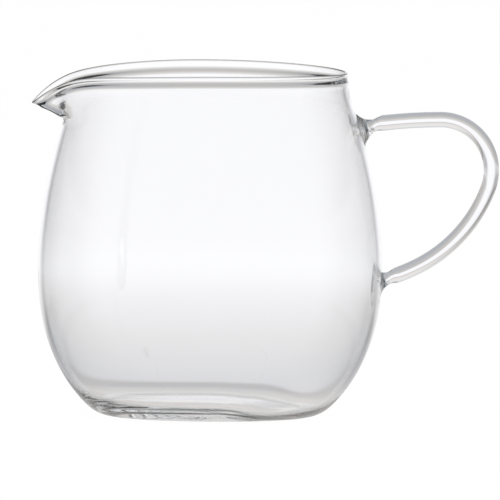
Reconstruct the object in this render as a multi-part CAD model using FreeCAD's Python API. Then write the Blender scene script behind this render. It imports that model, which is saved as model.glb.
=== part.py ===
import FreeCAD, Part
import math
import os
from FreeCAD import Placement, Rotation, Vector

# Clear glass tea pitcher: a blown round vessel with a fire-polished rim and a spout pulled out
# of it, and a bent glass rod for a handle, fused to the wall through two small gathers of glass.
# Millimetres. +Z is up, the origin is the middle of the foot, the handle points along +X and
# the spout along -X. Angles round the vessel are counted from the spout's middle line.

# Vessel outline: outside radii and heights
foot_r = 30.5
belly_r = 52.1
belly_z = 45.2
neck_r = 41.6
rim_z = 104.3           # middle of the rim's bead, at the sides
# Fullness of the outline from foot to belly and from belly to neck, each point as a share of
# the step in radius and a share of the step in height
heel_bends = ((0.13, 0.016), (0.365, 0.1), (0.893, 0.562))
shoulder_bends = ((0.47, 0.595), (0.788, 0.793), (0.99, 0.915))

# Glass thickness
wall_t = 1.5
base_t = 3.0
base_fade_z = 8.0       # height over which the thick base thins into the wall
bead_r = 1.1            # the fire-polished rim
punt_r = 27.5           # shallow hollow under the base, which leaves a ring to stand on
punt_h = 1.2
floor_r = 21.0          # flat middle of the inside floor

# Spout: the soft neck pulled outwards and drooped
spout_depth = 14.4      # the pull begins this far below the rim
spout_reach = 12.0
spout_droop = 8.2
reach_spread = 11.8     # degrees from the tip at which about a third of the reach is left
droop_spread = 8.0      # and about a third of the droop
tip_round = 3.0         # degrees over which the tip is rounded
pull_curl = 0.9         # below 1 the wall leans out more at the root of the spout than at its tip
spout_sag = 1.9         # the rim lies this much lower over the whole spout side
handle_sag = 1.0        # and this much lower at the handle

# Handle rod: its middle line starts at the upper gather and follows these bends clockwise. The
# whole loop is leaned in or out until its lower end stands off the wall as given here.
rod_r = 2.35
rod_top_depth = 15.4    # its upper end is this far below the rim
rod_top_off = 7.7       # and this far out from the wall
rod_foot_off = 5.2      # its lower end, likewise, out from the wall
rod_bends = ((153.0, 6.5), (15.5, 110.8), (43.5, 44.2), (68.0, 4.5))   # radius, degrees turned
rod_leans = (-30.0, 45.0)   # degrees of rise at its start between which the lean is looked for

# Gathers: the flared joints between the rod and the wall. Each has half its height on the
# wall, the drop of its middle below the rod's end, the radius of its neck, the lean with which
# it leaves the wall in degrees upwards, and its shape: share of the way from its root to the
# rod, share of the widening left there.
upper_flare_r = 5.1
upper_drop = 2.4
upper_neck_r = 1.7
upper_lean = 0.0
upper_shape = ((0.0, 1.3), (0.12, 0.95), (0.27, 0.5), (0.45, 0.2), (0.7, 0.0))
lower_flare_r = 5.6
lower_drop = 3.4
lower_neck_r = 1.8
lower_lean = 58.0
lower_shape = ((0.0, 1.3), (0.12, 0.85), (0.22, 0.4), (0.4, 0.1), (0.65, 0.0))
flare_side = 0.8        # a flare's width round the wall as a share of its height
flare_sink = 0.8        # depth in the wall's glass from which a flare starts

# How finely the glass is laid out
ring_steps = 12         # points round half the vessel
wall_steps = 10         # rings up the wall
bead_steps = 7          # rings over the bead
seam_angle = 80.0       # every ring starts past this angle, clear of the spout and the handle
sew_gap = 0.001         # edges closer than this are one edge
halvings = 40           # steps of each search by halving


def outline():
    """The plain outside of the vessel, foot to rim, as a curve of (radius, 0, height)."""
    points = [Vector(foot_r, 0, 0)]
    for out, up in heel_bends:
        points.append(Vector(foot_r + out * (belly_r - foot_r), 0, up * belly_z))
    points.append(Vector(belly_r, 0, belly_z))
    for back, up in shoulder_bends:
        radius = belly_r - back * (belly_r - neck_r)
        points.append(Vector(radius, 0, belly_z + up * (rim_z - belly_z)))
    points.append(Vector(neck_r, 0, rim_z))
    curve = Part.BSplineCurve()
    curve.interpolate(Points=points)
    return curve


plain_outside = outline()
spout_root_z = rim_z - spout_depth


def fade(angle, spread):
    """1 at the spout's tip, falling to nothing round the rim."""
    return math.exp(-(math.hypot(angle, tip_round) - tip_round) / spread)


def lip_height(angle):
    side = math.cos(math.radians(angle))
    sag = (spout_sag if side > 0 else handle_sag) * side ** 2
    return rim_z - sag - spout_droop * fade(angle, droop_spread)


def outside_point(angle, along):
    """A point of the outer wall; along runs from 0 at the foot to 1 at the rim."""
    plain = plain_outside.value(plain_outside.LastParameter * along)
    if plain.z <= spout_root_z:
        return plain
    rise = (plain.z - spout_root_z) / (rim_z - spout_root_z)
    reach = spout_reach * fade(angle, reach_spread) * rise ** pull_curl
    return Vector(plain.x + reach, 0, spout_root_z + rise * (lip_height(angle) - spout_root_z))


def wall_frame(angle, along):
    """A point of the outer wall, the direction up the wall and the direction into the glass."""
    step = 0.002
    low = outside_point(angle, max(0.0, along - step))
    high = outside_point(angle, min(1.0, along + step))
    up = (high - low).normalize()
    return outside_point(angle, along), up, Vector(-up.z, 0, up.x)


def glass_at(height):
    """The wall's thickness, which grows towards the base."""
    return wall_t + (base_t - wall_t) * math.exp(-height / base_fade_z)


def bead_points(angle):
    """The round rim in section, from the outer wall over the top to the inner wall."""
    lip, up, into = wall_frame(angle, 1.0)
    centre = lip + into * (wall_t / 2)
    tuck = math.degrees(math.acos(wall_t / 2 / bead_r))
    points = []
    for k in range(bead_steps):
        turn = math.radians(-tuck + k * (180 + 2 * tuck) / (bead_steps - 1))
        points.append(centre - into * (bead_r * math.cos(turn)) + up * (bead_r * math.sin(turn)))
    return points


def wall_section(angle):
    """The glass in section at one angle: outer wall, bead, and inner wall down to the floor."""
    stations = [k / (wall_steps - 0.5) for k in range(wall_steps)]
    outer = [outside_point(angle, along) for along in stations]
    inner = []
    for along in reversed(stations):
        point, up, into = wall_frame(angle, along)
        inner.append(point + into * glass_at(point.z))
    floor = [Vector((foot_r + floor_r) / 2, 0, base_t), Vector(floor_r, 0, base_t)]
    return outer, bead_points(angle), inner + floor


def ring_angles():
    """Angles round the vessel, close together at the spout."""
    half = [180 * (k / ring_steps) ** 2 for k in range(ring_steps + 1)]
    whole = half + [-angle for angle in reversed(half[1:-1])]
    first = next(k for k, angle in enumerate(whole) if angle > seam_angle)
    return whole[first:] + whole[:first]


def ring(points, angles):
    """A smooth closed curve through one point of every section."""
    turned = []
    for point, angle in zip(points, angles):
        turn = math.radians(180 - angle)
        turned.append(Vector(point.x * math.cos(turn), point.x * math.sin(turn), point.z))
    places = [math.radians((angle - angles[0]) % 360) for angle in angles] + [2 * math.pi]
    curve = Part.BSplineCurve()
    curve.interpolate(Points=turned, PeriodicFlag=True, Parameters=places)
    return Part.Wire([curve.toShape()])


def make_vessel():
    """Outer wall, bead and inner wall as three lofts, closed by the foot and the floor."""
    angles = ring_angles()
    sections = [wall_section(angle) for angle in angles]
    outer, bead, inner = [[ring(points, angles) for points in zip(*stretch)]
                          for stretch in zip(*sections)]
    outer.append(bead[0])
    inner.insert(0, bead[-1])
    faces = [Part.Face(outer[0]), Part.Face(inner[-1])]
    for rings in (outer, bead, inner):
        faces += Part.makeLoft(rings, False, False).Faces
    skin = Part.Shape(Part.makeShell(faces))
    skin.sewShape(sew_gap)
    blown = Part.Solid(skin.Shells[0])
    ball_r = (punt_r ** 2 + punt_h ** 2) / (2 * punt_h)
    punt = Part.makeSphere(ball_r, Vector(0, 0, punt_h - ball_r), Vector(0, 1, 0))
    return blown.cut(punt).Solids[0]


def wall_spot(height):
    """The outer wall under the handle at a height: the point and the way out of the wall."""
    low, high = 0.0, 1.0
    for _ in range(halvings):
        middle = (low + high) / 2
        if outside_point(180, middle).z < height:
            low = middle
        else:
            high = middle
    point, up, into = wall_frame(180, low)
    return point, into * -1


def rod_path(rise):
    """The rod's middle line as tangent arcs, with each end's place and direction."""
    top_z = rim_z - rod_top_depth
    here = Vector(wall_spot(top_z)[0].x + rod_top_off, 0, top_z)
    heading = math.radians(rise)
    start = (here, Vector(math.cos(heading), 0, math.sin(heading)))
    arcs = []
    for radius, turn in rod_bends:
        centre = here + Vector(math.sin(heading), 0, -math.cos(heading)) * radius
        stops = []
        for share in (0.5, 1.0):
            now = heading - math.radians(turn) * share
            stops.append(centre + Vector(-math.sin(now), 0, math.cos(now)) * radius)
        arcs.append(Part.Arc(here, stops[0], stops[1]))
        here = stops[1]
        heading -= math.radians(turn)
    return arcs, start, (here, Vector(math.cos(heading), 0, math.sin(heading)))


def leaned_rod_path():
    """The rod's path at the lean that brings its lower end to its distance from the wall."""
    low, high = rod_leans
    for _ in range(halvings):
        rise = (low + high) / 2
        foot = rod_path(rise)[2][0]
        if foot.x - wall_spot(foot.z)[0].x < rod_foot_off:
            low = rise
        else:
            high = rise
    return rod_path(rise)


def make_handle_rod(arcs, start):
    path = Part.Wire([arc.toShape() for arc in arcs])
    section = Part.Wire([Part.Circle(start[0], start[1], rod_r).toShape()])
    return path.makePipeShell([section], True, False).Solids[0]


def oval(centre, normal, height, width):
    """An ellipse square to normal, with its long half axis in the plane of the handle."""
    curve = Part.Ellipse(Vector(0, 0, 0), height, width)
    wire = Part.Wire([curve.toShape()])
    side = Vector(0, 1, 0)
    wire.Placement = Placement(centre, Rotation(side.cross(normal), side, normal, "ZXY"))
    return wire


def make_gather(rod_end, inwards, flare_r, drop, neck_r, lean, shape, vessel):
    """A trumpet of glass from the wall to the rod's end, trimmed to the outside of the wall."""
    spot, outwards = wall_spot(rod_end.z - drop)
    root = spot - outwards * flare_sink
    turn = math.radians(lean)
    leaving = outwards * math.cos(turn) + Vector(-outwards.z, 0, outwards.x) * math.sin(turn)
    reach = (rod_end - root).Length / 3
    middle_line = Part.BezierCurve()
    middle_line.setPoles([root, root + leaving * reach, rod_end + inwards * reach, rod_end])
    sections = []
    for share, widening in shape:
        height = neck_r + (flare_r - neck_r) * widening
        width = neck_r + (flare_r * flare_side - neck_r) * widening
        normal = (outwards * (1 - share) - inwards * share).normalize()
        sections.append(oval(middle_line.value(share), normal, height, width))
    sections.append(oval(rod_end, inwards * -1, rod_r, rod_r))
    trumpet = Part.makeLoft(sections, True, False)
    outside = trumpet.cut(vessel).Solids
    return max(outside, key=lambda solid: solid.Volume)


if __name__ == "__main__":
    os.makedirs("parts", exist_ok=True)
    vessel = make_vessel()
    arcs, start, end = leaned_rod_path()
    nodes = {
        "vessel": vessel,
        "handle_rod": make_handle_rod(arcs, start),
        "upper_handle_gather": make_gather(start[0], start[1] * -1, upper_flare_r, upper_drop,
                                           upper_neck_r, upper_lean, upper_shape, vessel),
        "lower_handle_gather": make_gather(end[0], end[1], lower_flare_r, lower_drop,
                                           lower_neck_r, lower_lean, lower_shape, vessel),
    }
    for name, shape in nodes.items():
        shape.exportStep(f"parts/{name}.step")
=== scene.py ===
import math

import bmesh
import bpy
import numpy as np
from mathutils import Matrix, Vector


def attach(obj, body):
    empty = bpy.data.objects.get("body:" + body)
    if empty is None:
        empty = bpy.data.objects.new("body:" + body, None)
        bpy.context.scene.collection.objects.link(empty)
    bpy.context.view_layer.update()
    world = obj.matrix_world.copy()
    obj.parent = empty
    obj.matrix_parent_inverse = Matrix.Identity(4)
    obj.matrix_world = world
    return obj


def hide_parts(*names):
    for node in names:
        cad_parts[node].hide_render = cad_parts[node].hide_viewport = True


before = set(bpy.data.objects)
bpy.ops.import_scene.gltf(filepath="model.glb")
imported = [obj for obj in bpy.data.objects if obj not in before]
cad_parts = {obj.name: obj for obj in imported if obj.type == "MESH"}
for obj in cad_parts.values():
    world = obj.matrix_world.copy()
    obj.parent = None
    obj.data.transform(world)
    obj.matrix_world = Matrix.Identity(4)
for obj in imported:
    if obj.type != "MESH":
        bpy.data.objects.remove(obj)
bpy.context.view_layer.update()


# The vessel: one bubble of clear heat-proof glass, blown round, its rim melted back to a round
# bead in the flame, and its soft neck pulled outwards and down at one place for the spout.
# Its thick base is pressed a little hollow, so that only a ring of it touches the table.
outline_knots = [  # outside radius and height, from the edge of the foot to the rim
    (0.03050, 0.0), (0.03331, 0.00072), (0.03838, 0.00452), (0.04979, 0.02540), (0.05210, 0.04520),
    (0.04717, 0.08036), (0.04383, 0.09207), (0.04171, 0.09928), (0.04160, 0.10430),
]
rim_height = outline_knots[-1][1]
wall = 0.0015
base = 0.0020
base_fade = 0.0016
rim_over = 0.0011  # the very edge stands this far above the rim's height
edge_radius = 0.00045
# Half the glass's thickness at distances below the very edge: the glass gathers a little way
# under the rim, and thins from there to the small round edge and to the plain wall.
rim_gather = ((0.0, 0.00045), (0.0019, 0.00046), (0.0024, 0.00060), (0.0030, 0.00082),
              (0.0036, 0.00091), (0.0047, 0.00090), (0.0080, 0.00080), (0.0120, 0.00075))
gather_shift = 0.00035  # the gather lies up to twice this deeper at the back than at the front
floor_radius = 0.021
punt_radius = 0.0275
punt_height = 0.0012
spout_root = 0.0899
spout_reach = 0.012
spout_droop = 0.0082
spout_curl = 0.9
spout_stretch = 0.5  # pulling the spout out thins its glass by this share
reach_spread, droop_spread, tip_round = math.radians(11.8), math.radians(8), math.radians(3)
spout_sag, handle_sag = 0.0019, 0.0010
lump = 0.0014  # the floor is this much thicker on the spout side, where the gather was cut off
lump_fade = 0.0028
lump_edge, lump_slant, lump_width = 0.026, 0.3, 0.018
turns = 256
spout_crowd = 1.5  # crowds the mesh towards the spout
wall_points = 1600
slope_step = 0.005
punt_rings, floor_rings, edge_steps = 8, 24, 8


def smooth_through(knots, count):
    """Evenly spread points along one smooth curve through the knots."""
    knots = np.array(knots)
    at = np.concatenate([[0], np.cumsum(np.linalg.norm(np.diff(knots, axis=0), axis=1))])
    gap = np.diff(at)
    system = np.identity(len(at))
    pull = np.zeros(knots.shape)
    for k in range(1, len(at) - 1):
        system[k, k - 1:k + 2] = gap[k - 1], 2 * (gap[k - 1] + gap[k]), gap[k]
        slopes = (knots[k + 1] - knots[k]) / gap[k] - (knots[k] - knots[k - 1]) / gap[k - 1]
        pull[k] = 6 * slopes
    bend = np.linalg.solve(system, pull)
    points = []
    for place in np.linspace(0, at[-1], count):
        k = min(int(np.searchsorted(at, place, side="right")) - 1, len(gap) - 1)
        a, b, h = at[k + 1] - place, place - at[k], gap[k]
        curved = (bend[k] * a ** 3 + bend[k + 1] * b ** 3) / (6 * h)
        straight = (knots[k] / h - bend[k] * h / 6) * a + (knots[k + 1] / h - bend[k + 1] * h / 6) * b
        points.append(Vector(curved + straight))
    return points


plain_outside = smooth_through(outline_knots, wall_points + 1)
wall_length = sum((far - near).length for near, far in zip(plain_outside, plain_outside[1:]))
gather_depths, gather_halves = zip(*smooth_through(rim_gather, 60))


def outer_wall(angle, along):
    """Radius and height of the outside, along running from 0 at the foot to 1 at the rim."""
    plain = plain_outside[round(along * wall_points)]
    if plain.y <= spout_root:
        return plain.copy()
    rise = (plain.y - spout_root) / (rim_height - spout_root)
    aside = math.hypot(angle, tip_round) - tip_round
    out = spout_reach * math.exp(-aside / reach_spread) * rise ** spout_curl
    side = math.cos(angle)
    lip = rim_height - (spout_sag if side > 0 else handle_sag) * side ** 2
    lip -= spout_droop * math.exp(-aside / droop_spread)
    return Vector((plain.x + out, spout_root + rise * (lip - spout_root)))


def place_in_glass(angle, along, deep, high):
    """Radius and height of a point deep inside the wall and high above a place on its outside."""
    rise = max(0, plain_outside[round(along * wall_points)].y - spout_root) / (rim_height - spout_root)
    aside = math.hypot(angle, tip_round) - tip_round
    deep *= 1 - spout_stretch * rise * math.exp(-aside / reach_spread)
    up = outer_wall(angle, min(1, along + slope_step)) - outer_wall(angle, max(0, along - slope_step))
    up.normalize()
    return outer_wall(angle, along) + Vector((-up.y, up.x)) * deep + up * high


def half_glass(angle, along):
    """Half the thickness of the glass; its gather lies deeper at the back than at the front."""
    below = (1 - along) * wall_length + rim_over - gather_shift * (1 + math.sin(angle))
    return float(np.interp(below, gather_depths, gather_halves))


# Places along the wall, closest together at the heel and at the rim.
stations = ([k / 320 for k in range(32)] + [0.1 + k / 160 for k in range(24)]
            + [0.25 + k / 80 for k in range(54)]
            + [0.925 + 0.075 * k / 24 for k in range(25)])

# Points of the glass in section: along the wall, deep in it, high above it, and on which side
# of the glass's middle they lie.
outer, inner = [], []
for along in stations:
    height = plain_outside[round(along * wall_points)].y
    outer.append((along, wall / 2, 0, -1))
    inner.append((along, wall / 2 + (base - wall) * math.exp(-height / base_fade), 0, 1))
edge = []
for k in range(edge_steps + 1):
    turn = math.pi * k / edge_steps
    edge.append((1, wall / 2 - edge_radius * math.cos(turn),
                 rim_over - edge_radius + edge_radius * math.sin(turn), 0))
section = outer + edge + inner[::-1]

glass = bmesh.new()
along_of = glass.verts.layers.float.new("along")
deep_of = glass.verts.layers.float.new("deep")
high_of = glass.verts.layers.float.new("high")
free_of = glass.verts.layers.int.new("free")
side_of = glass.verts.layers.int.new("side")
inside_of = glass.verts.layers.int.new("inside")
chain = []
ball = (punt_radius ** 2 + punt_height ** 2) / (2 * punt_height)
for k in range(punt_rings + 1):  # the hollow under the base, from its middle out to the ring it stands on
    radius = punt_radius * k / punt_rings
    chain.append(glass.verts.new((radius, 0, punt_height - ball + math.sqrt(ball ** 2 - radius ** 2))))
for along, deep, high, side in section:
    across, height = place_in_glass(math.pi, along, deep + side * half_glass(math.pi, along), high)
    vert = glass.verts.new((across, 0, height))
    vert[along_of], vert[deep_of], vert[high_of], vert[free_of] = along, deep, high, 1
    vert[side_of] = side
    vert[inside_of] = side > 0
    chain.append(vert)
floor_edge = (outline_knots[0][0] + floor_radius) / 2
for k in range(floor_rings + 1):  # the inside floor, from the heel to its middle
    vert = glass.verts.new((floor_edge * (floor_rings - k) / floor_rings, 0, base))
    vert[inside_of] = 1
    chain.append(vert)
for low, high in zip(chain, chain[1:]):
    glass.edges.new((low, high))
bmesh.ops.spin(glass, geom=glass.verts[:] + glass.edges[:], cent=(0, 0, 0), axis=(0, 0, 1),
               angle=math.tau, steps=turns, use_merge=True, use_duplicate=False)
for vert in glass.verts:
    if vert[free_of]:
        angle = math.atan2(vert.co.y, -vert.co.x)
        angle = math.copysign(math.pi * (abs(angle) / math.pi) ** spout_crowd, angle)
        deep = vert[deep_of] + vert[side_of] * half_glass(angle, vert[along_of])
        across, height = place_in_glass(angle, vert[along_of], deep, vert[high_of])
        vert.co = Vector((-math.cos(angle) * across, math.sin(angle) * across, height))
    if vert[inside_of]:
        share = min(1, max(0, (lump_edge - vert.co.x + lump_slant * vert.co.y) / lump_width))
        swell = share * share * (3 - 2 * share)
        vert.co.z += lump * swell * math.exp(-(vert.co.z - base) / lump_fade)
bmesh.ops.remove_doubles(glass, verts=glass.verts, dist=1e-6)
bmesh.ops.recalc_face_normals(glass, faces=glass.faces)
for face in glass.faces:
    face.smooth = True
vessel_mesh = bpy.data.meshes.new("vessel_blown")
glass.to_mesh(vessel_mesh)
glass.free()
vessel = bpy.data.objects.new("vessel_blown", vessel_mesh)
bpy.context.collection.objects.link(vessel)


def clear_glass(name, tint, density):
    """Clear hot-worked glass: lamps shine through it, and long ways through it look darker."""
    material = bpy.data.materials.new(name)
    material.use_nodes = True
    nodes, links = material.node_tree.nodes, material.node_tree.links
    shader = nodes["Principled BSDF"]
    shader.inputs["Base Color"].default_value = (1, 1, 1, 1)
    shader.inputs["Roughness"].default_value = 0
    shader.inputs["IOR"].default_value = 1.47
    shader.inputs["Transmission Weight"].default_value = 1
    place = nodes.new("ShaderNodeTexCoord")
    ripple = nodes.new("ShaderNodeTexNoise")
    ripple.inputs["Scale"].default_value = 55
    ripple.inputs["Detail"].default_value = 1
    links.new(place.outputs["Object"], ripple.inputs["Vector"])
    waves = nodes.new("ShaderNodeBump")
    waves.inputs["Strength"].default_value = 0.03
    waves.inputs["Distance"].default_value = 0.001
    links.new(ripple.outputs["Fac"], waves.inputs["Height"])
    links.new(waves.outputs["Normal"], shader.inputs["Normal"])
    path = nodes.new("ShaderNodeLightPath")
    lamp_way = nodes.new("ShaderNodeBsdfTransparent")
    lamp_way.inputs["Color"].default_value = (0.93, 0.94, 0.94, 1)
    mix = nodes.new("ShaderNodeMixShader")
    links.new(path.outputs["Is Shadow Ray"], mix.inputs["Fac"])
    links.new(shader.outputs["BSDF"], mix.inputs[1])
    links.new(lamp_way.outputs["BSDF"], mix.inputs[2])
    depth = nodes.new("ShaderNodeVolumeAbsorption")
    depth.inputs["Color"].default_value = (*tint, 1)
    depth.inputs["Density"].default_value = density
    output = nodes["Material Output"]
    links.new(mix.outputs["Shader"], output.inputs["Surface"])
    links.new(depth.outputs["Volume"], output.inputs["Volume"])
    return material


vessel_glass = clear_glass("blown_glass", (0.55, 0.60, 0.62), 8)
vessel_mesh.materials.append(vessel_glass)
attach(vessel, "root")
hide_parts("vessel")


# The handle: a straight glass rod, softened and bent in the flame, and joined to the wall at
# both ends. At each joint the hot glass spreads over the wall in a small trumpet. Its root
# melts into the wall, so the rod and its two joints are one length of glass.
rod_radius = 0.00235
rod_start = Vector((0.05254, 0, 0.0889))
rod_rise = math.radians(6.67)
rod_bends = ((0.153, 6.5), (0.0155, 110.8), (0.0435, 44.2), (0.068, 4.5))  # radius, degrees
upper_shape = ((0.0, 1.3), (0.12, 0.95), (0.27, 0.5), (0.45, 0.2), (0.7, 0.0), (1.0, 0.0))
lower_shape = ((0.0, 1.3), (0.12, 0.85), (0.22, 0.4), (0.4, 0.1), (0.65, 0.0), (1.0, 0.0))
trumpet_side = 0.8
trumpet_sink = 0.0008
trumpet_rings = 60
rod_from = 0.55  # the trumpet starts to widen to the rod's own size at this share of its length
rod_sides = 96
across_handle = Vector((0, 1, 0))


def bent_rod():
    """Middle line of the bent rod: places and directions from the upper joint to the lower."""
    here, heading = rod_start.copy(), rod_rise
    line = [(here.copy(), Vector((math.cos(heading), 0, math.sin(heading))))]
    for radius, degrees in rod_bends:
        steps = max(4, round(degrees / 3))
        middle = here + Vector((math.sin(heading), 0, -math.cos(heading))) * radius
        for _ in range(steps):
            heading -= math.radians(degrees) / steps
            here = middle + Vector((-math.sin(heading), 0, math.cos(heading))) * radius
            line.append((here, Vector((math.cos(heading), 0, math.sin(heading)))))
    return line


def trumpet(rod_end, inwards, flare, drop, neck, lean, shape):
    """Ovals of the glass from inside the wall to the rod's end: place, direction, two sizes."""
    height = rod_end.z - drop
    along = min((k / wall_points for k in range(wall_points + 1)),
                key=lambda place: abs(outer_wall(math.pi, place).y - height))
    root_across, root_height = place_in_glass(math.pi, along, trumpet_sink, 0)
    spot_across, spot_height = place_in_glass(math.pi, along, 0, 0)
    root = Vector((root_across, 0, root_height))
    out = (Vector((spot_across, 0, spot_height)) - root).normalized()
    leaving = out * math.cos(lean) + Vector((-out.z, 0, out.x)) * math.sin(lean)
    reach = (rod_end - root).length / 3
    poles = root, root + leaving * reach, rod_end + inwards * reach, rod_end
    ovals = []
    for share, size in smooth_through(shape, trumpet_rings):
        a, b = 1 - share, share
        place = poles[0] * a ** 3 + poles[1] * 3 * a * a * b
        place += poles[2] * 3 * a * b * b + poles[3] * b ** 3
        way = out * a - inwards * b
        grown = max(0, (share - rod_from) / (1 - rod_from))
        narrow = neck + (rod_radius - neck) * grown ** 2 * (3 - 2 * grown)
        ovals.append((place, way.normalized(), narrow + (flare - neck) * size,
                      narrow + (flare * trumpet_side - neck) * size))
    return ovals


line = bent_rod()
upper = trumpet(line[0][0], -line[0][1], flare=0.0051, drop=0.0024, neck=0.0017, lean=0,
                shape=upper_shape)
lower = trumpet(line[-1][0], line[-1][1], flare=0.0056, drop=0.0034, neck=0.0018,
                lean=math.radians(58), shape=lower_shape)
ovals = upper[:-1]
ovals += [(place, way, rod_radius, rod_radius) for place, way in line]
ovals += [(place, -way, tall, wide) for place, way, tall, wide in reversed(lower[:-1])]
rod = bmesh.new()
loops = []
for place, way, tall, wide in ovals:
    upright = across_handle.cross(way)
    turned = Matrix((across_handle * wide, upright * tall, way)).transposed().to_4x4()
    turned.translation = place
    ring = bmesh.ops.create_circle(rod, segments=rod_sides, radius=1, cap_ends=False, matrix=turned)
    loops.append([edge for edge in rod.edges if all(v in set(ring["verts"]) for v in edge.verts)])
for near, far in zip(loops, loops[1:]):
    bmesh.ops.bridge_loops(rod, edges=near + far)
for end in (loops[0], loops[-1]):
    bmesh.ops.edgeloop_fill(rod, edges=end)
bmesh.ops.recalc_face_normals(rod, faces=rod.faces)
for face in rod.faces:
    face.smooth = len(face.verts) == 4
handle_mesh = bpy.data.meshes.new("handle_bent")
rod.to_mesh(handle_mesh)
rod.free()
handle = bpy.data.objects.new("handle_bent", handle_mesh)
bpy.context.collection.objects.link(handle)
handle_mesh.materials.append(clear_glass("rod_glass", (0.55, 0.60, 0.64), 14))
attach(handle, "root")
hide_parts("handle_rod", "upper_handle_gather", "lower_handle_gather")


# The table: a smooth pale top that runs far behind the pitcher. Seen by itself it is white; through the
# glass it shows painted shade, an emitted grey up to half a metre away, and its gloss shows the bright
# backdrop, dimmed a little near the pitcher by painted shade.
bpy.ops.mesh.primitive_plane_add(size=8, location=(0, 0, 0))
table = bpy.context.object
table.name = "table_top"
pale = bpy.data.materials.new("pale_table")
pale.use_nodes = True
nodes, links = pale.node_tree.nodes, pale.node_tree.links
nodes.remove(nodes["Principled BSDF"])
spot = nodes.new("ShaderNodeNewGeometry")
away = nodes.new("ShaderNodeVectorMath")
away.operation = "LENGTH"
links.new(spot.outputs["Position"], away.inputs[0])
far = nodes.new("ShaderNodeMapRange")
far.inputs["From Min"].default_value = 0.0
far.inputs["From Max"].default_value = 0.75
links.new(away.outputs["Value"], far.inputs["Value"])
# Painted shade: the grey that the glass sees on the table is emitted. It is darkest 6 to 22 cm out from the
# middle and white from 75 cm, standing in for the table lying in shade.
painted_shade = nodes.new("ShaderNodeValToRGB")
painted_shade.color_ramp.elements[0].color = (0.68, 0.67, 0.66, 1)
painted_shade.color_ramp.elements[1].color = (1.0, 1.0, 1.0, 1)
for share, tone in ((0.05, (0.66, 0.65, 0.64)), (0.085, (0.44, 0.45, 0.48)), (0.18, (0.40, 0.42, 0.46)),
                    (0.30, (0.43, 0.43, 0.43)), (0.447, (0.54, 0.53, 0.51)), (0.6, (0.68, 0.67, 0.66)),
                    (0.907, (0.94, 0.94, 0.94))):
    painted_shade.color_ramp.elements.new(share).color = (*tone, 1)
links.new(far.outputs["Result"], painted_shade.inputs["Fac"])
path = nodes.new("ShaderNodeLightPath")
# The painted shade glows by itself; no lamp lights it.
shade_glow = nodes.new("ShaderNodeEmission")
links.new(painted_shade.outputs["Color"], shade_glow.inputs["Color"])
# Painted shade on the gloss as well: the reflection is dimmed a little near the middle.
gloss_shade = nodes.new("ShaderNodeValToRGB")
gloss_shade.color_ramp.elements[0].color = (0.95, 0.94, 0.93, 1)
gloss_shade.color_ramp.elements[1].color = (1, 1, 1, 1)
gloss_shade.color_ramp.elements[0].position = 0.2
gloss_shade.color_ramp.elements[1].position = 0.85
links.new(far.outputs["Result"], gloss_shade.inputs["Fac"])
gloss = nodes.new("ShaderNodeBsdfGlossy")
gloss.inputs["Roughness"].default_value = 0.02
links.new(gloss_shade.outputs["Color"], gloss.inputs["Color"])
sheen = nodes.new("ShaderNodeFresnel")
sheen.inputs["IOR"].default_value = 1.5
through = nodes.new("ShaderNodeMixShader")
links.new(sheen.outputs["Fac"], through.inputs["Fac"])
links.new(shade_glow.outputs["Emission"], through.inputs[1])
links.new(gloss.outputs["BSDF"], through.inputs[2])
glow = nodes.new("ShaderNodeEmission")
paint = nodes.new("ShaderNodeBsdfDiffuse")
paint.inputs["Color"].default_value = (0.95, 0.95, 0.95, 1)
plain = nodes.new("ShaderNodeMixShader")
plain.inputs["Fac"].default_value = 0.98
links.new(paint.outputs["BSDF"], plain.inputs[1])
links.new(glow.outputs["Emission"], plain.inputs[2])
cover = nodes.new("ShaderNodeMixShader")
links.new(path.outputs["Is Camera Ray"], cover.inputs["Fac"])
links.new(through.outputs["Shader"], cover.inputs[1])
links.new(plain.outputs["Shader"], cover.inputs[2])
links.new(cover.outputs["Shader"], nodes["Material Output"].inputs["Surface"])
table.data.materials.append(pale)


# The light: a bright white backdrop behind the pitcher, a grey line along its top edge, a warm
# paler wall above that, and a room that is greyer at both sides. Seen by itself the room is white.
world = bpy.data.worlds.new("studio")
bpy.context.scene.world = world
world.use_nodes = True
nodes, links = world.node_tree.nodes, world.node_tree.links
room = nodes["Background"]
way = nodes.new("ShaderNodeTexCoord")
faced = nodes.new("ShaderNodeMapping")
faced.inputs["Rotation"].default_value = (0, 0, math.radians(5))
links.new(way.outputs["Generated"], faced.inputs["Vector"])
parts = nodes.new("ShaderNodeSeparateXYZ")
links.new(faced.outputs["Vector"], parts.inputs["Vector"])
height_tone = nodes.new("ShaderNodeValToRGB")
height_tone.color_ramp.elements[0].color = (1, 1, 1, 1)
height_tone.color_ramp.elements[1].color = (0.55, 0.57, 0.62, 1)
for share, tone in ((0.12, (1, 1, 1)), (0.14, (0.62, 0.58, 0.55)), (0.18, (0.62, 0.58, 0.55)),
                    (0.22, (0.80, 0.78, 0.74)), (0.55, (0.85, 0.84, 0.82))):
    height_tone.color_ramp.elements.new(share).color = (*tone, 1)
links.new(parts.outputs["Z"], height_tone.inputs["Fac"])
bearing = nodes.new("ShaderNodeMath")
bearing.operation = "ARCTAN2"
links.new(parts.outputs["X"], bearing.inputs[0])
links.new(parts.outputs["Y"], bearing.inputs[1])
round_room = nodes.new("ShaderNodeMapRange")
round_room.inputs["From Min"].default_value = -math.pi
round_room.inputs["From Max"].default_value = math.pi
links.new(bearing.outputs["Value"], round_room.inputs["Value"])
side_tone = nodes.new("ShaderNodeValToRGB")
side_tone.color_ramp.elements[0].color = (0.95, 0.95, 0.95, 1)
side_tone.color_ramp.elements[1].color = (0.95, 0.95, 0.95, 1)
for share, tone in ((0.25, 0.60), (0.43, 0.40), (0.465, 1.0), (0.535, 1.0), (0.57, 0.45), (0.75, 0.70)):
    side_tone.color_ramp.elements.new(share).color = (tone, tone, tone * 1.03, 1)
links.new(round_room.outputs["Result"], side_tone.inputs["Fac"])
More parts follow.
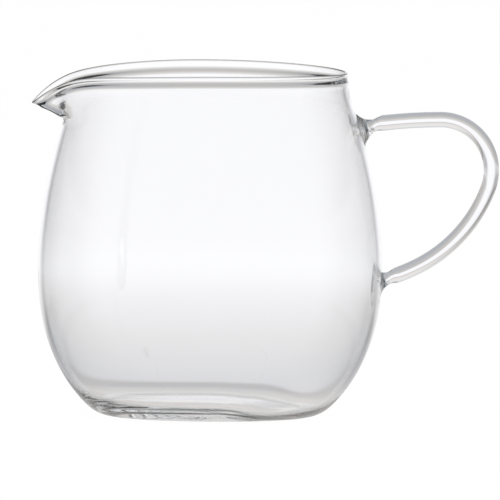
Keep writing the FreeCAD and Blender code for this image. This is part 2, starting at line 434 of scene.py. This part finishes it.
upwards = nodes.new("ShaderNodeMapRange")
upwards.inputs["From Min"].default_value = 0.15
upwards.inputs["From Max"].default_value = 0.7
links.new(parts.outputs["Z"], upwards.inputs["Value"])
low_sides = nodes.new("ShaderNodeMixRGB")
low_sides.inputs[2].default_value = (1, 1, 1, 1)
links.new(upwards.outputs["Result"], low_sides.inputs["Fac"])
links.new(side_tone.outputs["Color"], low_sides.inputs[1])
both = nodes.new("ShaderNodeMixRGB")
both.blend_type = "MULTIPLY"
both.inputs["Fac"].default_value = 1
links.new(height_tone.outputs["Color"], both.inputs[1])
links.new(low_sides.outputs["Color"], both.inputs[2])
behind = nodes.new("ShaderNodeMapRange")
behind.inputs["From Min"].default_value = 0.25
behind.inputs["From Max"].default_value = -0.15
links.new(parts.outputs["Y"], behind.inputs["Value"])
whole = nodes.new("ShaderNodeMixRGB")
whole.inputs[2].default_value = (0.98, 0.98, 0.98, 1)
links.new(behind.outputs["Result"], whole.inputs["Fac"])
links.new(both.outputs["Color"], whole.inputs[1])
links.new(whole.outputs["Color"], room.inputs["Color"])
white = nodes.new("ShaderNodeBackground")
white.inputs["Color"].default_value = (1, 1, 1, 1)
path = nodes.new("ShaderNodeLightPath")
pick = nodes.new("ShaderNodeMixShader")
links.new(path.outputs["Is Camera Ray"], pick.inputs["Fac"])
links.new(room.outputs["Background"], pick.inputs[1])
links.new(white.outputs["Background"], pick.inputs[2])
links.new(pick.outputs["Shader"], nodes["World Output"].inputs["Surface"])

lamp = bpy.data.lights.new("overhead", "AREA")
lamp.shape = "RECTANGLE"
lamp.size, lamp.size_y = 1.2, 0.9
lamp.energy = 8
overhead = bpy.data.objects.new("overhead", lamp)
overhead.location = (-0.3, -0.5, 1.4)
overhead.rotation_euler = (Vector((0, 0, 0.05)) - overhead.location).to_track_quat("-Z", "Y").to_euler()
overhead.visible_glossy = overhead.visible_transmission = False
bpy.context.collection.objects.link(overhead)

# The camera: square on from far off, a little above, with the handle turned slightly away.
turned, raised, rolled = math.radians(-5), math.radians(3.7), math.radians(0.45)
back = Vector((math.sin(turned) * math.cos(raised), -math.cos(turned) * math.cos(raised), math.sin(raised)))
right = Vector((math.cos(turned), math.sin(turned), 0))
above = back.cross(right)
lens = bpy.data.cameras.new("camera")
lens.type = "ORTHO"
lens.ortho_scale = 0.1515
camera = bpy.data.objects.new("camera", lens)
camera.matrix_world = (Matrix.Translation(right * 0.01212 + above * 0.05016 + back * 1.0)
                       @ back.to_track_quat("Z", "Y").to_matrix().to_4x4()
                       @ Matrix.Rotation(rolled, 4, "Z"))
bpy.context.collection.objects.link(camera)
bpy.context.scene.camera = camera
bpy.context.scene.view_settings.view_transform = "Standard"
bpy.context.scene.cycles.max_bounces = 32
bpy.context.scene.cycles.glossy_bounces = 32
bpy.context.scene.cycles.transmission_bounces = 32
